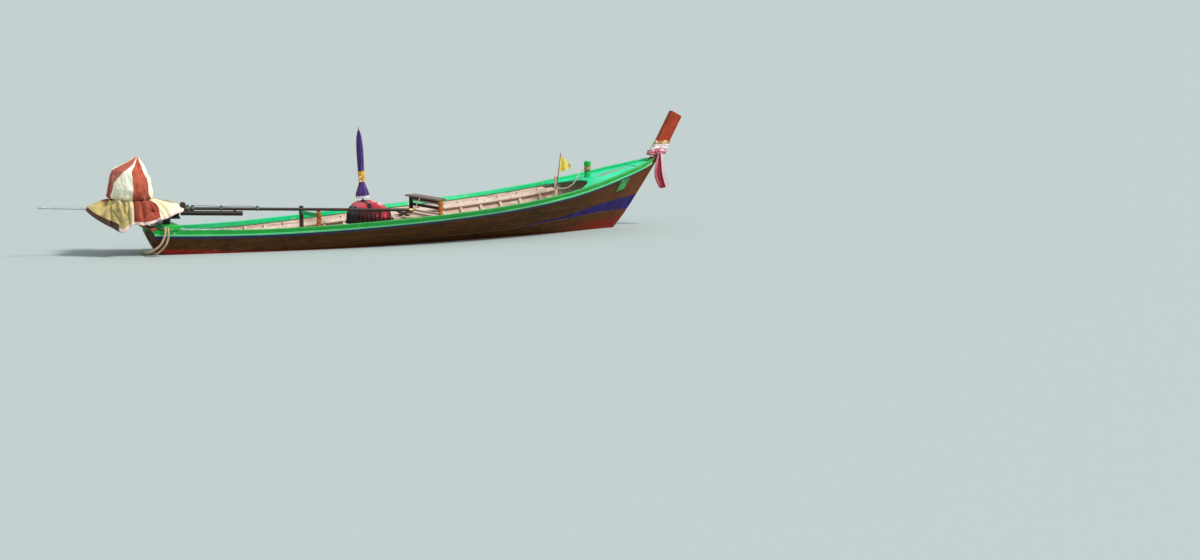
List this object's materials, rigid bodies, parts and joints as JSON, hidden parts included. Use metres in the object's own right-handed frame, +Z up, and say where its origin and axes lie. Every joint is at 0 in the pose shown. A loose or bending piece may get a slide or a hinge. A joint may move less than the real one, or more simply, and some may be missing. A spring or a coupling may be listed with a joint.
{
  "type": "longtail boat",
  "caption": "Narrow wooden boat with a tall prow post, green gunwales and a motor on a long tail that swings and tilts over the stern",
  "frame": {"origin": "on the centreline amidships, at the height of the waterline", "axes": "+X bow, +Y port, +Z up"},
  "size_m": [12.3158, 2.3354, 2.5685],
  "materials": {
    "varnished_planks": "dark brown varnish, worn",
    "antifouling": "dark red paint below the water, dull",
    "bare_timber": "weathered pale timber",
    "green_deck_paint": "bright green enamel, scuffed",
    "green_gunwale_paint": "green enamel, worn at the edges",
    "mint_paint": "pale green enamel",
    "navy_paint": "navy and purple enamel",
    "prow_timber": "reddish brown stain, weathered",
    "brown_timber": "orange brown timber, weathered",
    "dark_timber": "dark timber, weathered",
    "steel": "dark paint over steel, rusty",
    "engine_block": "oily dark metal",
    "bronze": "dull bronze",
    "bright_tube": "bare tube, worn",
    "purple_cloth": "furled cloth",
    "yellow_cloth": "cloth",
    "red_cloth": "cloth, faded",
    "cream_cloth": "cream and red panels, faded",
    "white_cloth": "tied cloth",
    "rope": "worn rope"
  },
  "bodies": {
    "hull": {"bottom_planking_starboard": "antifouling", "bottom_planking_port": "antifouling", "side_planking_starboard": "varnished_planks", "side_planking_port": "varnished_planks", "gunwale_starboard": "green_gunwale_paint", "gunwale_port": "green_gunwale_paint", "rub_rail_starboard": "mint_paint", "rub_rail_port": "mint_paint", "sheer_strip_starboard": "navy_paint", "sheer_strip_port": "navy_paint", "ribs_starboard": "bare_timber", "ribs_port": "bare_timber", "plate_starboard": "green_gunwale_paint", "plate_port": "green_gunwale_paint", "keel": "antifouling", "stem": "varnished_planks", "prow_post": "prow_timber", "transom": "varnished_planks", "floorboards": "bare_timber", "foredeck": "green_deck_paint", "stern_deck": "green_deck_paint", "stern_beam": "brown_timber", "engine_bearer": "green_gunwale_paint", "thwart_aft": "bare_timber", "thwart_middle": "bare_timber", "thwart_fore": "bare_timber", "bollard": "brown_timber", "bollard_rope": "rope", "flag_post": "bare_timber", "flag_pole": "dark_timber", "pennant": "yellow_cloth", "prow_wrap": "white_cloth", "prow_garland": "yellow_cloth", "prow_sash": "red_cloth", "crutch": "brown_timber", "deck_box": "dark_timber", "box_cover": "red_cloth", "umbrella_pole": "bright_tube", "umbrella_canopy": "purple_cloth", "umbrella_tie": "yellow_cloth", "umbrella_tip": "dark_timber", "bench_frame": "brown_timber", "bench_seat": "bare_timber", "gangboard": "bare_timber", "crossed_slats": "dark_timber", "leaning_stick": "bare_timber", "pivot_socket": "steel", "bow_rope": "rope", "gunwale_rope": "rope", "stern_rope_outer": "rope", "stern_rope_inner": "rope"},
    "swivel": {"swivel_yoke": "steel"},
    "motor": {"engine_bed": "steel", "engine": "engine_block", "tail_tube": "steel", "silencer": "steel", "tiller": "bright_tube", "cover_pole": "bare_timber", "engine_cover": "cream_cloth"},
    "propeller": {"propeller": "bronze"}
  },
  "joints": [
    {"name": "swing", "type": "hinge", "parent": "hull", "child": "swivel", "pos_m": [-4.36, 0, 0.58417], "axis": [0.0872, 0, -0.9962], "range_deg": [0, 205]},
    {"name": "tilt", "type": "hinge", "parent": "swivel", "child": "motor", "pos_m": [-4.37133, 0, 0.71368], "axis": [-0.1128, -0.9936, -0.0099], "range_deg": [0, 8]},
    {"name": "spin", "type": "hinge", "parent": "motor", "child": "propeller", "pos_m": [0.02954, -0.49831, 0.59291], "axis": [0.9927, -0.1122, -0.0442], "continuous": true}
  ]
}
